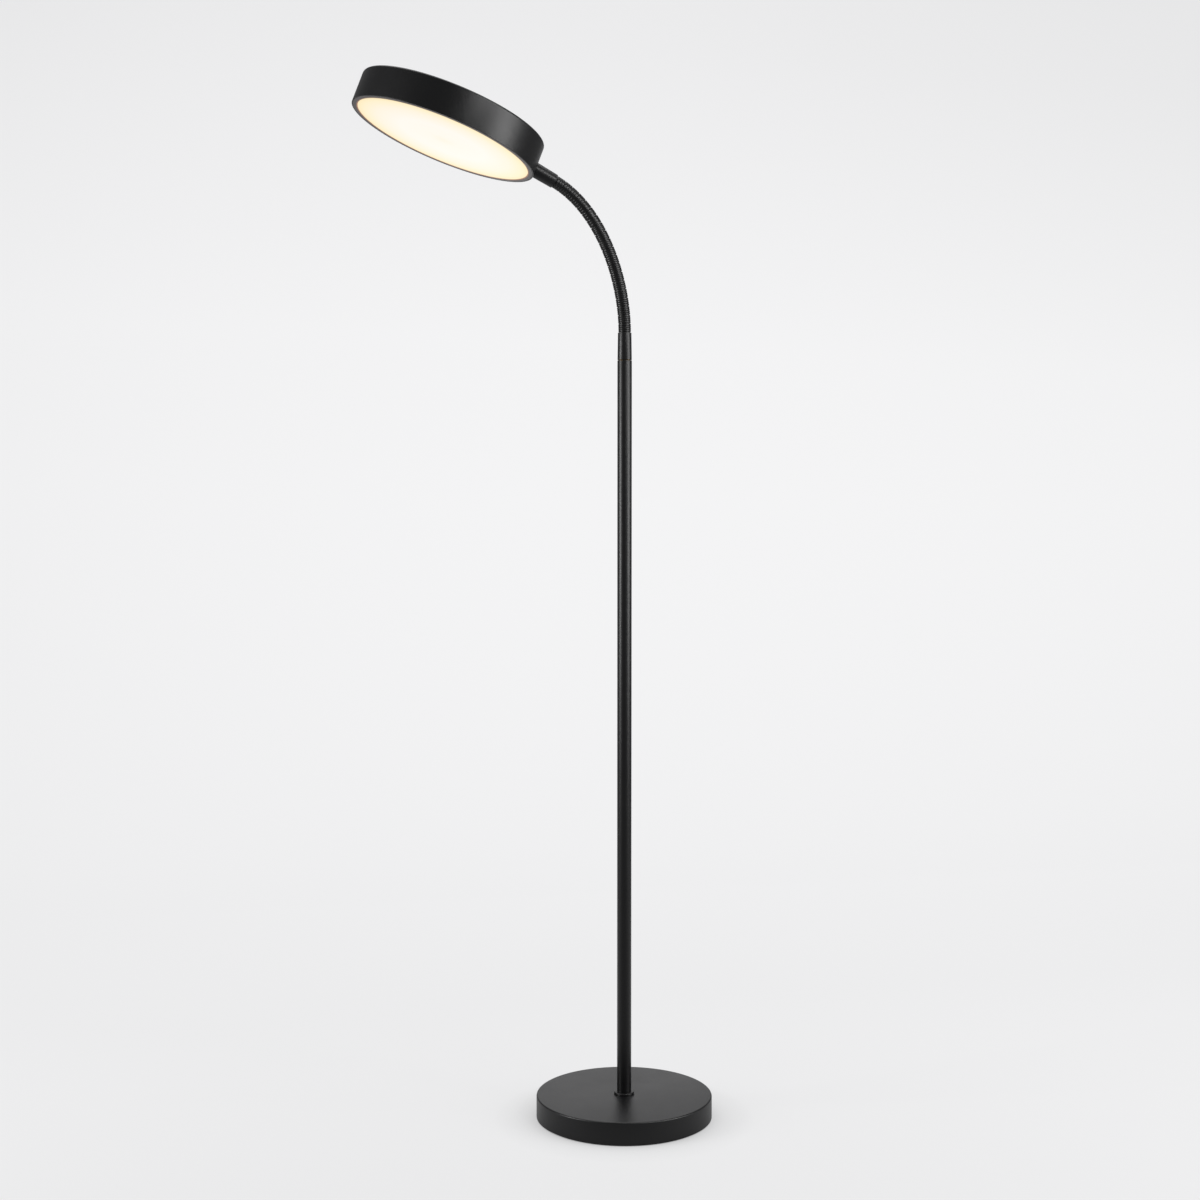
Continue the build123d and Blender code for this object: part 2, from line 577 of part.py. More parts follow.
# ---------------------------------------------------------------- upper ferrule and its clamp in the wall
neck_top = Plane(origin=neck_end.origin, x_dir=(0, 1, 0), z_dir=neck_end.z_dir)
stud_depth = HEAD_WALL + STUD_REACH_INSIDE
with BuildPart() as upper_ferrule:
    with BuildSketch(neck_top.offset(LINK_GAP / 2)):
        Circle(UPPER_FERRULE_RADIUS)
    extrude(amount=UPPER_FERRULE_LENGTH + FERRULE_OVERRUN)
    chamfer(upper_ferrule.faces().sort_by(Axis(neck_top.origin, neck_top.z_dir))[0].edges(), FERRULE_CHAMFER)
    with BuildSketch(head_level(-HEAD_HEIGHT)):
        Circle(HEAD_RADIUS)
    extrude(amount=3 * HEAD_HEIGHT, mode=Mode.SUBTRACT)
    with BuildSketch(stud_plane.offset(-STUD_ROOT)):
        Circle(ROD_RADIUS)
    extrude(amount=STUD_ROOT + stud_depth)
    with BuildSketch(stud_plane.offset(-1)):
        Circle(ROD_BORE_RADIUS)
    extrude(amount=stud_depth + 2, mode=Mode.SUBTRACT)
    with BuildSketch(neck_top):
        Circle(SOCKET_RADIUS)
    extrude(amount=SOCKET_DEPTH, mode=Mode.SUBTRACT)
    with BuildSketch(neck_top):
        Circle(ROD_BORE_RADIUS)
    extrude(amount=UPPER_FERRULE_LENGTH, mode=Mode.SUBTRACT)
save("upper_ferrule", upper_ferrule)

# the washer is pressed to the wall's inner curve: a thicker disc less a ring that stands for the wall
washer_face = HEAD_WALL + STUD_WASHER_THICKNESS
with BuildPart() as wall_ring:
    with BuildSketch(head_level(0)):
        Circle(HEAD_RADIUS + HEAD_WALL)
        Circle(HEAD_RADIUS - HEAD_WALL, mode=Mode.SUBTRACT)
    extrude(amount=HEAD_HEIGHT)

with BuildPart() as stud_washer:
    with BuildSketch(stud_plane):
        RegularPolygon(STUD_WASHER_RADIUS, TURNED_SIDES)
        RegularPolygon(ROD_HOLE_RADIUS, TURNED_SIDES, mode=Mode.SUBTRACT)
    extrude(amount=washer_face)
    add(wall_ring.part, mode=Mode.SUBTRACT)
save("stud_washer", stud_washer)

with BuildPart() as stud_nut:
    with BuildSketch(stud_plane.offset(washer_face)):
        RegularPolygon(NUT_FLATS / 2, 6, major_radius=False)
        RegularPolygon(ROD_RADIUS + SLIP / 2, TURNED_SIDES, mode=Mode.SUBTRACT)
    extrude(amount=NUT_HEIGHT)
save("stud_nut", stud_nut)
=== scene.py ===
import json
from math import cos, pi, radians, sin, sqrt, tan

import bmesh
import bpy
from mathutils import Matrix, Vector


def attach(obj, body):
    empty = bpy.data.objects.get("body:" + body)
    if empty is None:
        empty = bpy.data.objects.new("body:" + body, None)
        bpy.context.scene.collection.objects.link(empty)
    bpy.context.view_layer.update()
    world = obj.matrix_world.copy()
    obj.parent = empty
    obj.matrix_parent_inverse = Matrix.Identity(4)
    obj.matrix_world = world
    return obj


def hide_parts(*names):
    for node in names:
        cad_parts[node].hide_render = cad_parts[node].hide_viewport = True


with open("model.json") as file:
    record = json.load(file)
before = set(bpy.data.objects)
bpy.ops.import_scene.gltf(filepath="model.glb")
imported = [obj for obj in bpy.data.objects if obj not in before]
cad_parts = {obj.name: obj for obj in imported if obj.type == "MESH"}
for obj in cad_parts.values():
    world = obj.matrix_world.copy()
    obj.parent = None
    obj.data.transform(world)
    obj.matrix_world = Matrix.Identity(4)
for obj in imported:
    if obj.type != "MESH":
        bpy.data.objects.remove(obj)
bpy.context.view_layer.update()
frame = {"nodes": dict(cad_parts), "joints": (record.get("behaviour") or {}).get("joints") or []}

# ---------------------------------------------------------------- camera
# Stands a little left of straight ahead, at the height of the pole's upper half, looking slightly down.
eye = bpy.data.objects.new("photo_camera", bpy.data.cameras.new("photo_camera"))
bpy.context.scene.collection.objects.link(eye)
eye.location = (-0.622, -2.361, 0.833)
eye.rotation_euler = (radians(86.75), 0, radians(-14.0))
eye.data.lens = 55.5
eye.data.sensor_width = 36
bpy.context.scene.camera = eye
bpy.context.scene.view_settings.view_transform = "Standard"

# ---------------------------------------------------------------- floor and backdrop
# One pale painted sweep: a flat floor that curves up into a wall well behind the lamp. Its own paleness is
# added for the camera and for reflections only, so it puts no extra light on the lamp.
FLOOR_FRONT = -4.5
WALL_AT = 2.6
WALL_BEND = 1.2
WALL_TOP = 4.5
BEND_STEPS = 16
SWEEP_SIDES = (-5.0, 5.0)
sweep_line = [(FLOOR_FRONT, 0.0), (WALL_AT - WALL_BEND, 0.0)]
for step in range(1, BEND_STEPS + 1):
    turn = step / BEND_STEPS * pi / 2
    sweep_line.append((WALL_AT - WALL_BEND + WALL_BEND * sin(turn), WALL_BEND - WALL_BEND * cos(turn)))
sweep_line.append((WALL_AT, WALL_TOP))
sweep_mesh = bpy.data.meshes.new("studio_sweep")
sweep_points = [(x, y, z) for y, z in sweep_line for x in SWEEP_SIDES]
sweep_faces = [(2 * i, 2 * i + 1, 2 * i + 3, 2 * i + 2) for i in range(len(sweep_line) - 1)]
sweep_mesh.from_pydata(sweep_points, [], sweep_faces)
sweep_mesh.polygons.foreach_set("use_smooth", [True] * len(sweep_faces))
sweep = bpy.data.objects.new("studio_sweep", sweep_mesh)
bpy.context.scene.collection.objects.link(sweep)


def lay_ramp(ramp, stops):
    """Puts (position, colour) stops on a colour ramp, in place of its black and white ends."""
    first, last = ramp.color_ramp.elements[0], ramp.color_ramp.elements[1]
    for stop, (position, colour) in ((first, stops[0]), (last, stops[-1])):
        stop.position, stop.color = position, (*colour, 1)
    for position, colour in stops[1:-1]:
        ramp.color_ramp.elements.new(position).color = (*colour, 1)


PALE_FROM, PALE_TO = -1.0, 5.0
LEFT_EDGE, RIGHT_EDGE = -1.6, 2.4
LEFT_SHARE, RIGHT_SHARE = 0.965, 1.06
CONTACT_REACH = 0.06
CONTACT_SHARE = 0.5
sweep_paint = bpy.data.materials.new("sweep paint")
sweep_paint.use_nodes = True
nodes, links = sweep_paint.node_tree.nodes, sweep_paint.node_tree.links
nodes.clear()
place = nodes.new("ShaderNodeTexCoord")
way_up = nodes.new("ShaderNodeVectorMath")
way_up.operation = "DOT_PRODUCT"
way_up.inputs[1].default_value = (0.03, 1, 1)
links.new(place.outputs["Object"], way_up.inputs[0])
fade = nodes.new("ShaderNodeMapRange")
fade.inputs["From Min"].default_value = PALE_FROM
fade.inputs["From Max"].default_value = PALE_TO
links.new(way_up.outputs["Value"], fade.inputs["Value"])
glow = nodes.new("ShaderNodeValToRGB")
# (share of the way from the floor's front to the wall's top, paleness there)
PALENESS = (
    (0.0, 0.635), (0.12, 0.65), (0.21, 0.672), (0.26, 0.68), (0.39, 0.73), (0.52, 0.742), (0.59, 0.75),
    (0.73, 0.765), (0.81, 0.765), (0.85, 0.745), (0.95, 0.70), (1.0, 0.69),
)
COOLER_BLUE = 1.008
lay_ramp(glow, [(position, (value, value, value * COOLER_BLUE)) for position, value in PALENESS])
links.new(fade.outputs["Result"], glow.inputs["Fac"])
paleness = nodes.new("ShaderNodeEmission")
# soft shadow where the base stands
contact = nodes.new("ShaderNodeAmbientOcclusion")
contact.samples = 8
contact.inputs["Distance"].default_value = CONTACT_REACH
grounded = nodes.new("ShaderNodeMix")
grounded.data_type, grounded.blend_type = "RGBA", "MULTIPLY"
grounded.inputs["Factor"].default_value = CONTACT_SHARE
links.new(glow.outputs["Color"], grounded.inputs["A"])
links.new(contact.outputs["Color"], grounded.inputs["B"])
links.new(grounded.outputs["Result"], paleness.inputs["Color"])
# a little paler towards the right
sides = nodes.new("ShaderNodeSeparateXYZ")
links.new(place.outputs["Object"], sides.inputs[0])
left_to_right = nodes.new("ShaderNodeMapRange")
left_to_right.inputs["From Min"].default_value = LEFT_EDGE
left_to_right.inputs["From Max"].default_value = RIGHT_EDGE
left_to_right.inputs["To Min"].default_value = LEFT_SHARE
left_to_right.inputs["To Max"].default_value = RIGHT_SHARE
links.new(sides.outputs["X"], left_to_right.inputs["Value"])
links.new(left_to_right.outputs["Result"], paleness.inputs["Strength"])
matt = nodes.new("ShaderNodeBsdfDiffuse")
matt.inputs["Color"].default_value = (0.20, 0.20, 0.202, 1)
ray = nodes.new("ShaderNodeLightPath")


def sweep_step(operation, a, b):
    """One step of arithmetic in the sweep's paint."""
    node = nodes.new("ShaderNodeMath")
    node.operation = operation
    for socket, value in zip(node.inputs, (a, b)):
        if isinstance(value, float):
            socket.default_value = value
        else:
            links.new(value, socket)
    return node.outputs[0]


LIT_SHARE, DIM_SHARE = 0.8, 0.14


def painted_lit_band(along, near, far, both_ways):
    """Painted light for reflections: falls from the lit to the dim share between two distances from the lamp,
    along one level direction.
    """
    reach = nodes.new("ShaderNodeVectorMath")
    reach.operation = "DOT_PRODUCT"
    reach.inputs[1].default_value = along
    links.new(place.outputs["Object"], reach.inputs[0])
    band = nodes.new("ShaderNodeMapRange")
    band.interpolation_type = "SMOOTHSTEP"
    band.inputs["From Min"].default_value = near
    band.inputs["From Max"].default_value = far
    band.inputs["To Min"].default_value = LIT_SHARE
    band.inputs["To Max"].default_value = DIM_SHARE
    distance = sweep_step("ABSOLUTE", reach.outputs["Value"], 0.0) if both_ways else reach.outputs["Value"]
    links.new(distance, band.inputs["Value"])
    return band.outputs["Result"]


# painted light and shade for reflections: in reflections the sweep's glow shows a painted lit strip behind
# the lamp, with painted shade on the sweep's far sides and front
across = painted_lit_band((0.970, -0.242, 0), 0.35, 1.2, True)
behind = painted_lit_band((-0.242, -0.970, 0), -0.35, 0.40, False)
strip = sweep_step("MINIMUM", across, behind)
reflected = sweep_step("MAXIMUM", ray.outputs["Is Glossy Ray"], ray.outputs["Is Transmission Ray"])
seen = sweep_step("MAXIMUM", ray.outputs["Is Camera Ray"], sweep_step("MULTIPLY", reflected, strip))
dark = nodes.new("ShaderNodeEmission")
dark.inputs["Strength"].default_value = 0.0
shown = nodes.new("ShaderNodeMixShader")
links.new(seen, shown.inputs["Fac"])
links.new(dark.outputs[0], shown.inputs[1])
links.new(paleness.outputs[0], shown.inputs[2])
both = nodes.new("ShaderNodeAddShader")
links.new(matt.outputs[0], both.inputs[0])
links.new(shown.outputs[0], both.inputs[1])
out = nodes.new("ShaderNodeOutputMaterial")
links.new(both.outputs[0], out.inputs["Surface"])
sweep_mesh.materials.append(sweep_paint)

# the room past the sweep's edges is as pale as the sweep to look at, and lights the lamp only faintly
ROOM_LIGHT, ROOM_PALENESS = 0.13, 0.70
room = bpy.data.worlds.new("studio room")
room.use_nodes = True
room_nodes, room_links = room.node_tree.nodes, room.node_tree.links
faint = room_nodes["Background"]
faint.inputs["Color"].default_value = (1, 1, 1, 1)
faint.inputs["Strength"].default_value = ROOM_LIGHT
pale = room_nodes.new("ShaderNodeBackground")
pale.inputs["Color"].default_value = (1, 1, 1, 1)
pale.inputs["Strength"].default_value = ROOM_PALENESS
room_ray = room_nodes.new("ShaderNodeLightPath")
room_shown = room_nodes.new("ShaderNodeMixShader")
room_links.new(room_ray.outputs["Is Camera Ray"], room_shown.inputs["Fac"])
room_links.new(faint.outputs[0], room_shown.inputs[1])
room_links.new(pale.outputs[0], room_shown.inputs[2])
room_links.new(room_shown.outputs[0], room_nodes["World Output"].inputs["Surface"])
bpy.context.scene.world = room


# ---------------------------------------------------------------- lamps
# A soft overhead panel; two panels, one each side of the lamp, which draw the bright lines along the pole;
# and a long level strip high on the right, which draws the band along the upper ferrule and the neck.
def softbox(name, at, towards, width, height, watts):
    """A rectangular soft lamp that faces a point."""
    lamp = bpy.data.lights.new(name, "AREA")
    lamp.shape = "RECTANGLE"
    lamp.size, lamp.size_y, lamp.energy = width, height, watts
    panel = bpy.data.objects.new(name, lamp)
    panel.location = at
    panel.rotation_euler = (Vector(towards) - Vector(at)).to_track_quat("-Z", "Y").to_euler()
    bpy.context.scene.collection.objects.link(panel)


softbox("overhead_panel", (0.05, 0.6, 3.0), (0.05, 0.6, 0), 2.4, 2.0, 30)
softbox("high_strip", (1.15, -1.85, 2.0), (-0.08, 0, 1.22), 1.5, 0.22, 20)
softbox("left_panel", (-2.25, -0.15, 1.08), (0, 0, 1.05), 0.7, 1.25, 31)
softbox("right_panel", (1.88, -1.256, 1.08), (0, 0, 1.05), 1.2, 1.25, 28)


# ---------------------------------------------------------------- base pad and base weight
# A die-cut disc of closed-cell foam rubber under a rough cast iron disc. Both come as they are from the
# frame; the pad only shows as a thin dark line under the skirt.
def finish_slot(name, metallic, roughness, colour):
    """A new node material with its plain shader, ready for its grain."""
    material = bpy.data.materials.new(name)
    material.use_nodes = True
    shader = material.node_tree.nodes["Principled BSDF"]
    shader.inputs["Metallic"].default_value = metallic
    shader.inputs["Roughness"].default_value = roughness
    shader.inputs["Base Color"].default_value = (*colour, 1)
    return material


def add_grain(material, scale, depth, detail=3.0, stretch=(1, 1, 1)):
    """Fine relief over the whole surface; depth is in metres."""
    nodes, links = material.node_tree.nodes, material.node_tree.links
    place = nodes.new("ShaderNodeTexCoord")
    spread = nodes.new("ShaderNodeMapping")
    spread.inputs["Scale"].default_value = stretch
    grain = nodes.new("ShaderNodeTexNoise")
    grain.inputs["Scale"].default_value = scale
    grain.inputs["Detail"].default_value = detail
    relief = nodes.new("ShaderNodeBump")
    relief.inputs["Strength"].default_value = 1.0
    relief.inputs["Distance"].default_value = depth
    links.new(place.outputs["Object"], spread.inputs["Vector"])
    links.new(spread.outputs["Vector"], grain.inputs["Vector"])
    links.new(grain.outputs["Fac"], relief.inputs["Height"])
    shader = nodes["Principled BSDF"]
    if shader.inputs["Normal"].is_linked:
        links.new(shader.inputs["Normal"].links[0].from_socket, relief.inputs["Normal"])
    links.new(relief.outputs["Normal"], shader.inputs["Normal"])


def add_mottle(material, scale, socket, low, high):
    """Slow change of one of the shader's values over the surface; low and high are numbers or colours."""
    nodes, links = material.node_tree.nodes, material.node_tree.links
    place = nodes.new("ShaderNodeTexCoord")
    cloud = nodes.new("ShaderNodeTexNoise")
    cloud.inputs["Scale"].default_value = scale
    cloud.inputs["Detail"].default_value = 4.0
    links.new(place.outputs["Object"], cloud.inputs["Vector"])
    if socket == "Base Color":
        blend = nodes.new("ShaderNodeMix")
        blend.data_type = "RGBA"
        blend.inputs["A"].default_value = (*low, 1)
        blend.inputs["B"].default_value = (*high, 1)
        links.new(cloud.outputs["Fac"], blend.inputs["Factor"])
    else:
        blend = nodes.new("ShaderNodeMapRange")
        blend.inputs["From Min"].default_value = 0.3
        blend.inputs["From Max"].default_value = 0.7
        blend.inputs["To Min"].default_value = low
        blend.inputs["To Max"].default_value = high
        links.new(cloud.outputs["Fac"], blend.inputs["Value"])
    links.new(blend.outputs["Result"], nodes["Principled BSDF"].inputs[socket])


def give(material, *names):
    """Puts a finish on pieces of the frame that stay as they are."""
    for name in names:
        mesh = frame["nodes"][name].data
        mesh.materials.clear()
        mesh.materials.append(material)


foam = finish_slot("black foam rubber", 0.0, 0.9, (0.012, 0.012, 0.013))
add_grain(foam, 1400, 0.0004, 6)
add_mottle(foam, 60, "Base Color", (0.009, 0.009, 0.010), (0.018, 0.018, 0.019))
give(foam, "base_pad")
cast_iron = finish_slot("sand cast iron", 0.6, 0.75, (0.10, 0.10, 0.10))
add_grain(cast_iron, 420, 0.0009, 8)
add_mottle(cast_iron, 25, "Base Color", (0.055, 0.052, 0.05), (0.13, 0.125, 0.12))
give(cast_iron, "base_weight")


# ---------------------------------------------------------------- base cover
# Sheet steel spun into a shallow dish with a rounded top edge, powder coated satin black inside and out. It
# drops over the weight and is held by the nut under the pole; the gland's hole is punched in the skirt.
# Turned sections, here and below, are in millimetres; everything else is in metres.
mm = 0.001


def rounded_section(corners, steps=6):
    """A closed section of (radius, height, fillet) corners as plain points, each fillet as an arc."""
    nearly_straight = pi - 0.01
    points = []
    for i, (r, z, fillet) in enumerate(corners):
        here = Vector((r, z))
        before = Vector(corners[i - 1][:2]) - here
        after = Vector(corners[(i + 1) % len(corners)][:2]) - here
        angle = before.angle(after) if fillet else pi
        if not fillet or angle > nearly_straight:
            points.append((r, z))
            continue
        reach = fillet / tan(angle / 2)
        first = here + before.normalized() * reach
        last = here + after.normalized() * reach
        centre = here + (before.normalized() + after.normalized()).normalized() * fillet / sin(angle / 2)
        start, end = first - centre, last - centre
        swing = start.angle_signed(end)
        for step in range(steps + 1):
            turned_by = Matrix.Rotation(-swing * step / steps, 2)
            points.append(tuple(centre + turned_by @ start))
    return points


def spun(name, section, place=Matrix.Identity(4), around=128, crease=35):
    """A piece turned about its place's Z axis from a closed section of (radius, height) points in mm."""
    shape = bmesh.new()
    rings = []
    for r, z in section:
        if r < 1e-6:
            rings.append([shape.verts.new(place @ Vector((0, 0, z * mm)))] * around)
            continue
        angles = [2 * pi * i / around for i in range(around)]
        ring = [Vector((r * cos(a) * mm, r * sin(a) * mm, z * mm)) for a in angles]
        rings.append([shape.verts.new(place @ point) for point in ring])
    for i, ring in enumerate(rings):
        following = rings[(i + 1) % len(rings)]
        for k in range(around):
            corners = [ring[k], ring[(k + 1) % around], following[(k + 1) % around], following[k]]
            corners = [v for j, v in enumerate(corners) if v not in corners[:j]]
            if len(corners) > 2:
                shape.faces.new(corners)
    bmesh.ops.recalc_face_normals(shape, faces=shape.faces)
    mesh = bpy.data.meshes.new(name)
    shape.to_mesh(mesh)
    shape.free()
    mesh.polygons.foreach_set("use_smooth", [True] * len(mesh.polygons))
    mesh.set_sharp_from_angle(angle=radians(crease))
    piece = bpy.data.objects.new(name, mesh)
    bpy.context.scene.collection.objects.link(piece)
    return piece


WELD = 4e-6


def punch(piece, cutter):
    """Cuts one shape out of a piece, welds slivers shut and removes the cutter."""
    cut = piece.modifiers.new("punch", "BOOLEAN")
    cut.object, cut.solver, cut.operation = cutter, "EXACT", "DIFFERENCE"
    plain = bpy.data.meshes.new_from_object(piece.evaluated_get(bpy.context.evaluated_depsgraph_get()))
    piece.modifiers.clear()
    shape = bmesh.new()
    shape.from_mesh(plain)
    bmesh.ops.remove_doubles(shape, verts=shape.verts, dist=WELD)
    bmesh.ops.dissolve_degenerate(shape, edges=shape.edges, dist=WELD)
    shape.to_mesh(plain)
    shape.free()
    old = piece.data
    piece.data = plain
    plain.name = piece.name
    bpy.data.meshes.remove(old)
    bpy.data.objects.remove(cutter)


def fit(piece, body, slot, material, *stands_for):
    """Gives a finished piece its finish, its body and the nodes it stands for."""
    piece.data.materials.clear()
    piece.data.materials.append(material)
    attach(piece, body)
    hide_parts(*stands_for)


coat = finish_slot("satin black powder coat", 0.0, 0.34, (0.0048, 0.0048, 0.0054))
add_grain(coat, 2600, 0.00006, 2)
add_grain(coat, 700, 0.000025, 2)
add_mottle(coat, 14, "Roughness", 0.35, 0.40)

BASE_RADIUS = 117.5
BASE_TOP = 31.2
COVER_WALL = 1.2
COVER_BOTTOM = 1.5
GLAND_HEIGHT = 7.6
HOLE_RADIUS = 5.2
cover = spun(
    "spun_base_cover",
    rounded_section([
        (HOLE_RADIUS, BASE_TOP - COVER_WALL, 0),
        (HOLE_RADIUS, BASE_TOP, 0),
        (BASE_RADIUS, BASE_TOP, 2.0),
        (BASE_RADIUS, COVER_BOTTOM, 0.4),
        (BASE_RADIUS - COVER_WALL, COVER_BOTTOM, 0.4),
        (BASE_RADIUS - COVER_WALL, BASE_TOP - COVER_WALL, 0.8),
    ], 8),
    around=256,
)
gland_place = Matrix.Translation((BASE_RADIUS * mm, 0, GLAND_HEIGHT * mm)) @ Matrix.Rotation(pi / 2, 4, "Y")
hole_section = [(0, -6), (HOLE_RADIUS, -6), (HOLE_RADIUS, 6), (0, 6)]
punch(cover, spun("punch", hole_section, gland_place, 48))
fit(cover, "stand", "black_powder_coat_steel", coat, "base_cover")

# ---------------------------------------------------------------- cord gland
# Moulded rubber grommet pushed into the skirt on the side away from the head: a domed flange outside, a
# groove for the sheet, a soft barb inside and a bore for the cord.
rubber = finish_slot("moulded black rubber", 0.0, 0.62, (0.014, 0.014, 0.014))
add_grain(rubber, 900, 0.00008, 4)
add_mottle(rubber, 90, "Roughness", 0.55, 0.7)
GLAND_BORE = 3.3
GLAND_NECK = 5.1
GLAND_DEPTH = 7.5
FLANGE_RADIUS = 6.0
FLANGE_HEIGHT = 1.5
gland = spun(
    "rubber_cord_gland",
    rounded_section([
        (GLAND_BORE, -GLAND_DEPTH, 0.3), (4.5, -GLAND_DEPTH, 0.3),
        (GLAND_NECK, -4.6, 0.3), (GLAND_NECK, 0, 0),
        (FLANGE_RADIUS, 0, 0), (FLANGE_RADIUS, FLANGE_HEIGHT, 0.9),
        (4.1, FLANGE_HEIGHT, 0.2), (GLAND_BORE, 1.0, 0.2),
    ]),
    gland_place, 64,
)
fit(gland, "stand", "black_rubber", rubber, "cord_gland")

# ---------------------------------------------------------------- rod, nuts, washers, inserts and stud
# Bright zinc-plated stock hardware in the weight's pocket, the pole's ends and the head. The rod's thread is
# in its finish. The stud in the seam above the pole is yellow passivated; its colour is darkened far below
# plated zinc as painted shade in the seam, so it shows as a thin dark warm line.
zinc = finish_slot("bright zinc plate", 1.0, 0.28, (0.62, 0.62, 0.60))
add_grain(zinc, 700, 0.00003, 3)
add_mottle(zinc, 120, "Roughness", 0.2, 0.38)
give(zinc, "foot_nut", "foot_washer", "foot_spring_washer", "pole_foot_insert", "pole_top_insert")
give(zinc, "stud_nut", "stud_washer")
THREAD_PITCH = 0.001
WAVES_PER_UNIT = 20 / (2 * pi)
thread = finish_slot("zinc plated thread", 1.0, 0.32, (0.60, 0.60, 0.58))
thread_nodes, thread_links = thread.node_tree.nodes, thread.node_tree.links
pitch = thread_nodes.new("ShaderNodeTexWave")
pitch.wave_type, pitch.bands_direction = "BANDS", "Z"
pitch.inputs["Scale"].default_value = 1 / WAVES_PER_UNIT / THREAD_PITCH
turns = thread_nodes.new("ShaderNodeBump")
turns.inputs["Strength"].default_value = 1.0
turns.inputs["Distance"].default_value = 0.0006
along = thread_nodes.new("ShaderNodeTexCoord")
thread_links.new(along.outputs["Object"], pitch.inputs["Vector"])
thread_links.new(pitch.outputs["Fac"], turns.inputs["Height"])
thread_links.new(turns.outputs["Normal"], thread_nodes["Principled BSDF"].inputs["Normal"])
give(thread, "foot_rod")
# painted shade: the stud's colour is far darker than yellow passivated zinc, so the seam around it reads as a
# dark line
yellow_zinc_with_painted_shade = finish_slot("yellow passivated zinc darkened as painted seam shade", 1.0, 0.45, (0.08, 0.052, 0.02))
add_grain(yellow_zinc_with_painted_shade, 700, 0.00003, 3)
add_mottle(yellow_zinc_with_painted_shade, 200, "Roughness", 0.40, 0.52)
give(yellow_zinc_with_painted_shade, "ferrule_stud")

# ---------------------------------------------------------------- foot collar and pole
# A turned ring hides the joint between base and pole. The pole is one straight length of 19 mm tube with
# deburred ends, coated like the base.
COLLAR_RADIUS = 13.4
COLLAR_TOP = 34.4
POLE_RADIUS = 9.5
POLE_BORE = 8.3
POLE_TOP = 1009.0
collar = spun(
    "turned_foot_collar",
    rounded_section([
        (HOLE_RADIUS, BASE_TOP, 0), (COLLAR_RADIUS, BASE_TOP, 0.15),
        (COLLAR_RADIUS, COLLAR_TOP, 0.9), (HOLE_RADIUS, COLLAR_TOP, 0),
    ]),
    around=96,
)
fit(collar, "stand", "black_powder_coat_steel", coat, "foot_collar")
pole = spun(
    "coated_pole_tube",
    rounded_section([
        (POLE_BORE, COLLAR_TOP, 0.2), (POLE_RADIUS, COLLAR_TOP, 0.35),
        (POLE_RADIUS, POLE_TOP, 0.35), (POLE_BORE, POLE_TOP, 0.2),
    ], 4),
    around=96,
)
fit(pole, "stand", "black_powder_coat_steel", coat, "pole_tube")

# ---------------------------------------------------------------- lower ferrule
# Turned steel sleeve screwed on the stud above the pole's seam. It tapers a little towards the neck, and
# the round boss in its mouth carries the first link.
FERRULE_BOTTOM = 1009.8
FERRULE_TOP = 1045.4
FERRULE_FOOT_RADIUS = 9.4
FERRULE_MOUTH_RADIUS = 8.85
STUD_BORE = 5.05
STUD_BORE_TOP = 1025.8
LEAD_WAY = 3.4
NECK_BOTTOM = frame["joints"][0]["pos_m"][2] / mm
BOSS_RADIUS = 7.1
BOSS_REACH = 3.5


def boss_arc(low, high, steps=8):
    """The round boss about a joint, as section points from one height to another."""
    heights = [low + (high - low) * i / steps for i in range(steps + 1)]
    return [(sqrt(BOSS_RADIUS**2 - h**2), h) for h in heights]


lower_ferrule = spun(
    "turned_lower_ferrule",
    rounded_section(
        [(STUD_BORE, FERRULE_BOTTOM, 0), (FERRULE_FOOT_RADIUS, FERRULE_BOTTOM, 0.35)]
        + [(FERRULE_MOUTH_RADIUS, FERRULE_TOP, 0.5)]
        + [(r, h + NECK_BOTTOM, 0) for r, h in boss_arc(-0.5, BOSS_REACH)]
        + [(LEAD_WAY, NECK_BOTTOM + BOSS_REACH, 0), (LEAD_WAY, STUD_BORE_TOP, 0)]
        + [(STUD_BORE, STUD_BORE_TOP, 0)]
    ),
    around=96,
)
fit(lower_ferrule, "stand", "black_powder_coat_steel", coat, "lower_ferrule")

# ---------------------------------------------------------------- lead inside the pole
# Two-core lead with a round black jacket, from behind the gland up through the rod and the pole.
jacket = finish_slot("black lead jacket", 0.0, 0.5, (0.016, 0.016, 0.016))
add_grain(jacket, 600, 0.00005, 3)
add_mottle(jacket, 80, "Roughness", 0.42, 0.58)
LEAD_RADIUS = 0.00255


def lead_along(name, points, body, node):
    """A round lead on one smooth line through the frame's own route, made a plain mesh."""
    route = bpy.data.curves.new(name, "CURVE")
    route.dimensions = "3D"
    run = route.splines.new("NURBS")
    run.points.add(len(points) - 1)
    for point, at in zip(run.points, points):
        point.co = (*at, 1)
    run.order_u = 3
    run.use_endpoint_u = True
    run.resolution_u = 10
    route.bevel_depth = LEAD_RADIUS
    route.bevel_resolution = 5
    route.use_fill_caps = True
    lead = bpy.data.objects.new(name, route)
    bpy.context.scene.collection.objects.link(lead)
    plain = bpy.data.meshes.new_from_object(lead.evaluated_get(bpy.context.evaluated_depsgraph_get()))
    bpy.data.objects.remove(lead)
    piece = bpy.data.objects.new(name, plain)
    bpy.context.scene.collection.objects.link(piece)
    fit(piece, body, "lead_jacket", jacket, node)


lead_along(
    "pole_lead_jacket",
    [(0.1025, 0, 0.0076), (0.012, 0, 0.0076), (0, 0, 0.0076), (0, 0, 0.0196), (0, 0, 1.0454)],
    "stand", "pole_lead",
)

